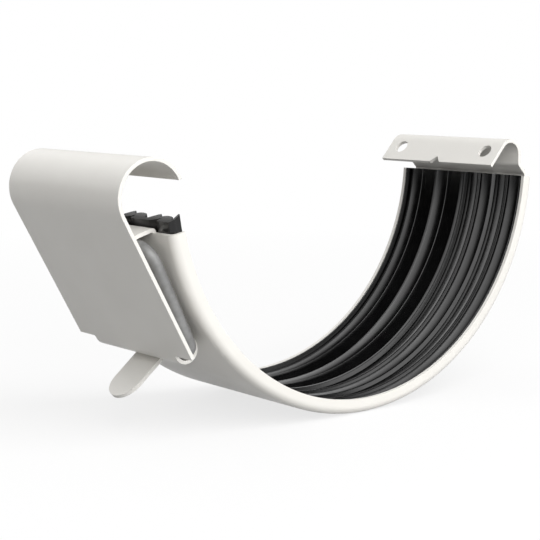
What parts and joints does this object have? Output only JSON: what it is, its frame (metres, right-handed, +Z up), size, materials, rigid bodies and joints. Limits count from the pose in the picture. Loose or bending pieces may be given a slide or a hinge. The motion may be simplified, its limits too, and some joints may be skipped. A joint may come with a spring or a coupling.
{
  "type": "gutter union",
  "caption": "Half-round gutter union: channel band with ribbed rubber seal, rear hook flap, and a hooked front clip on a wire bail with a bend-over locking tongue.",
  "frame": {"origin": "on the axis of the half-round gutter, at the middle of the union's width", "axes": "+X across the gutter to its rear edge (bead and clip at -X), +Y along the gutter, +Z up"},
  "size_m": [0.1471, 0.051, 0.0726],
  "materials": {
    "painted_steel": "satin off-white paint on sheet steel",
    "seal_rubber": "matt black rubber",
    "galvanised_wire": "dull grey galvanised steel"
  },
  "bodies": {
    "band": {"gutter_band": "painted_steel", "rubber_seal": "seal_rubber"},
    "bail": {"wire_bail": "galvanised_wire"},
    "clip": {"bead_clip": "painted_steel"}
  },
  "joints": [
    {"name": "bail_swing", "type": "hinge", "parent": "band", "child": "bail", "pos_m": [-0.0691, 0, -0.01645], "axis": [0, 1, 0], "range_deg": [0, 55]},
    {"name": "clip_swing", "type": "hinge", "parent": "bail", "child": "clip", "pos_m": [-0.05644, 0, -0.04327], "axis": [0, -1, 0], "range_deg": [0, 110]}
  ],
  "couplings": [
    {"joint": "bail_swing", "follows": "clip_swing", "ratio": 0.5}
  ]
}
